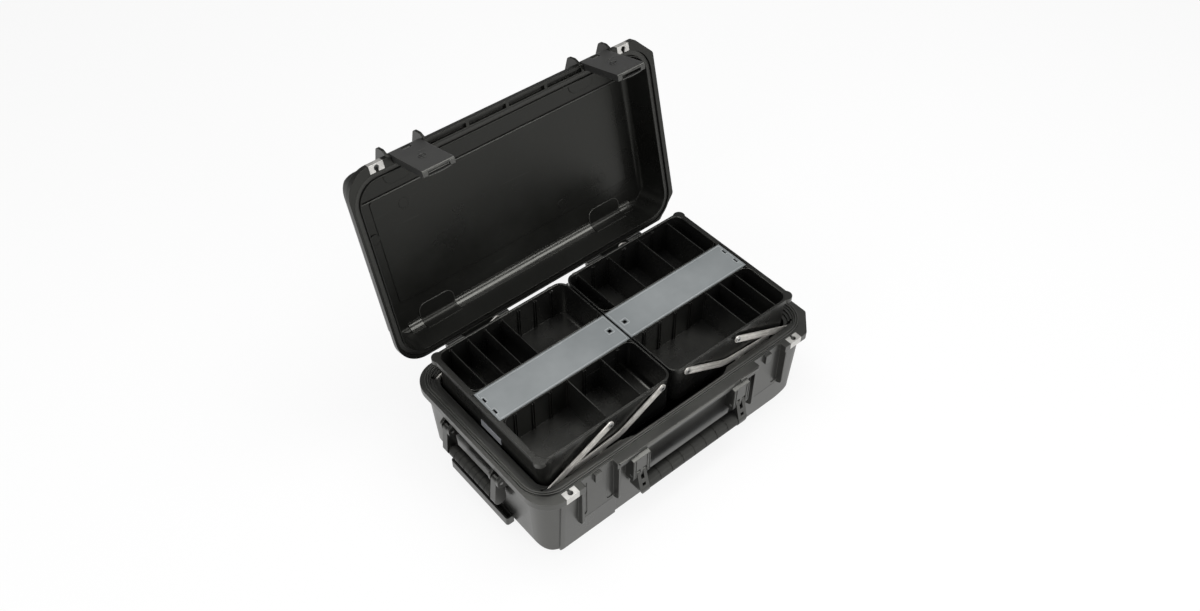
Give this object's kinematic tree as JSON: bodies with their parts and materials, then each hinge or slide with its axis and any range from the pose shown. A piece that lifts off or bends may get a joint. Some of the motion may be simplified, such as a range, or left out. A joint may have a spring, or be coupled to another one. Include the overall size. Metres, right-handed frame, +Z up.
{
  "type": "hard tool case",
  "caption": "Rolling hard-shell tool case with a hinged lid, press latches, lift-out bin trays on folding steel arms, carry handles, a pull handle and wheels.",
  "frame": {"origin": "on the floor under the middle of the base, halfway along its length, on the middle line of the mouth", "axes": "+X along the length towards the wheel end, -Y towards the latches and the front handle, +Z up"},
  "size_m": [0.566, 0.483, 0.4864],
  "materials": {
    "case_plastic": "fine moulded grain, dark grey",
    "black_plastic": "satin moulded, black",
    "latch_plastic": "semi-gloss moulded, black",
    "tray_plastic": "satin moulded, black",
    "grip_rubber": "soft grooved overmould",
    "seal_rubber": "smooth extruded strip",
    "tyre_rubber": "smooth tread",
    "arm_steel": "brushed, warm grey",
    "pin_steel": "turned",
    "plate_steel": "bright brushed stainless",
    "sleeve_aluminium": "drawn tube",
    "cover_plastic": "smoky translucent",
    "tab_plastic": "bluish translucent"
  },
  "bodies": {
    "base": {"base_shell": "case_plastic", "base_padlock_plates": "plate_steel", "tray_frame_left": "black_plastic", "tray_frame_right": "black_plastic", "lower_rivets_left": "pin_steel", "lower_rivets_right": "pin_steel", "front_handle_pins": "pin_steel", "side_handle_pins": "pin_steel", "hinge_pins": "pin_steel", "wheel_axles": "pin_steel", "pull_handle_sleeves": "sleeve_aluminium"},
    "lid": {"lid_shell": "case_plastic", "lid_seal": "seal_rubber", "lid_padlock_plates": "plate_steel", "latch_pins": "pin_steel"},
    "front_handle": {"front_handle_frame": "black_plastic", "front_handle_grip": "grip_rubber"},
    "side_handle": {"side_handle_frame": "black_plastic", "side_handle_grip": "grip_rubber"},
    "pull_handle": {"pull_handle_bar": "black_plastic", "pull_handle_rods": "arm_steel"},
    "front_wheel": {"front_wheel_hub": "black_plastic", "front_wheel_tyre": "tyre_rubber"},
    "rear_wheel": {"rear_wheel_hub": "black_plastic", "rear_wheel_tyre": "tyre_rubber"},
    "left_latch": {"left_latch_lever": "latch_plastic", "left_trigger_pin": "pin_steel"},
    "left_trigger": {"left_latch_trigger": "latch_plastic"},
    "left_straight_link": {"left_straight_arms": "arm_steel"},
    "left_curved_link": {"left_curved_arms": "arm_steel"},
    "left_lift_tray": {"left_tray": "tray_plastic", "left_tray_rivets": "pin_steel", "left_tray_dividers": "tray_plastic", "left_end_tab": "tab_plastic"},
    "left_cover": {"left_bin_cover": "cover_plastic"},
    "right_latch": {"right_latch_lever": "latch_plastic", "right_trigger_pin": "pin_steel"},
    "right_trigger": {"right_latch_trigger": "latch_plastic"},
    "right_straight_link": {"right_straight_arms": "arm_steel"},
    "right_curved_link": {"right_curved_arms": "arm_steel"},
    "right_lift_tray": {"right_tray": "tray_plastic", "right_tray_rivets": "pin_steel", "right_tray_dividers": "tray_plastic", "right_end_tab": "tab_plastic"},
    "right_cover": {"right_bin_cover": "cover_plastic"}
  },
  "joints": [
    {"name": "lid_hinge", "type": "hinge", "parent": "base", "child": "lid", "pos_m": [0, 0.1657, 0.142], "axis": [-1, 0, 0], "range_deg": [-104.25, 0]},
    {"name": "front_handle_pivot", "type": "hinge", "parent": "base", "child": "front_handle", "pos_m": [0, -0.17, 0.094], "axis": [-1, 0, 0], "range_deg": [0, 90]},
    {"name": "side_handle_pivot", "type": "hinge", "parent": "base", "child": "side_handle", "pos_m": [-0.275, 0, 0.112], "axis": [0, 1, 0], "range_deg": [0, 90]},
    {"name": "pull_handle_slide", "type": "slide", "parent": "base", "child": "pull_handle", "axis": [-1, 0, 0], "range_m": [0, 0.38]},
    {"name": "front_wheel_spin", "type": "hinge", "parent": "base", "child": "front_wheel", "pos_m": [0.222, -0.106, 0.038], "axis": [0, 1, 0], "continuous": true},
    {"name": "rear_wheel_spin", "type": "hinge", "parent": "base", "child": "rear_wheel", "pos_m": [0.222, 0.106, 0.038], "axis": [0, 1, 0], "continuous": true},
    {"name": "left_latch_pivot", "type": "hinge", "parent": "lid", "child": "left_latch", "pos_m": [-0.171, 0.25473, 0.46007], "axis": [-1, 0, 0], "range_deg": [0, 100]},
    {"name": "left_trigger_pivot", "type": "hinge", "parent": "left_latch", "child": "left_trigger", "pos_m": [-0.171, 0.20263, 0.47021], "axis": [1, 0, 0], "range_deg": [0, 5], "stiffness_Nm_per_rad": 0.05},
    {"name": "left_straight_arm_fold", "type": "hinge", "parent": "base", "child": "left_straight_link", "pos_m": [-0.2404, 0, 0.128], "axis": [0, -1, 0], "range_deg": [0, 80]},
    {"name": "left_tray_level", "type": "hinge", "parent": "left_straight_link", "child": "left_lift_tray", "pos_m": [-0.1261, 0, 0.184], "axis": [0, -1, 0], "range_deg": [-80, 0]},
    {"name": "left_curved_arm_fold", "type": "hinge", "parent": "base", "child": "left_curved_link", "pos_m": [-0.1394, 0, 0.128], "axis": [0, -1, 0], "range_deg": [0, 80]},
    {"name": "left_cover_hinge", "type": "hinge", "parent": "left_lift_tray", "child": "left_cover", "pos_m": [-0.2435, -0.002, 0.1898], "axis": [0, -1, 0], "range_deg": [0, 100]},
    {"name": "right_latch_pivot", "type": "hinge", "parent": "lid", "child": "right_latch", "pos_m": [0.171, 0.25473, 0.46007], "axis": [-1, 0, 0], "range_deg": [0, 100]},
    {"name": "right_trigger_pivot", "type": "hinge", "parent": "right_latch", "child": "right_trigger", "pos_m": [0.171, 0.20263, 0.47021], "axis": [1, 0, 0], "range_deg": [0, 5], "stiffness_Nm_per_rad": 0.05},
    {"name": "right_straight_arm_fold", "type": "hinge", "parent": "base", "child": "right_straight_link", "pos_m": [0.2404, 0, 0.128], "axis": [0, 1, 0], "range_deg": [0, 80]},
    {"name": "right_tray_level", "type": "hinge", "parent": "right_straight_link", "child": "right_lift_tray", "pos_m": [0.1261, 0, 0.184], "axis": [0, 1, 0], "range_deg": [-80, 0]},
    {"name": "right_curved_arm_fold", "type": "hinge", "parent": "base", "child": "right_curved_link", "pos_m": [0.1394, 0, 0.128], "axis": [0, 1, 0], "range_deg": [0, 80]},
    {"name": "right_cover_hinge", "type": "hinge", "parent": "right_lift_tray", "child": "right_cover", "pos_m": [0.2435, -0.002, 0.1898], "axis": [0, 1, 0], "range_deg": [0, 100]}
  ],
  "couplings": [
    {"joint": "left_tray_level", "follows": "left_straight_arm_fold", "ratio": -1},
    {"joint": "left_curved_arm_fold", "follows": "left_straight_arm_fold", "ratio": 1},
    {"joint": "right_tray_level", "follows": "right_straight_arm_fold", "ratio": -1},
    {"joint": "right_curved_arm_fold", "follows": "right_straight_arm_fold", "ratio": 1}
  ]
}
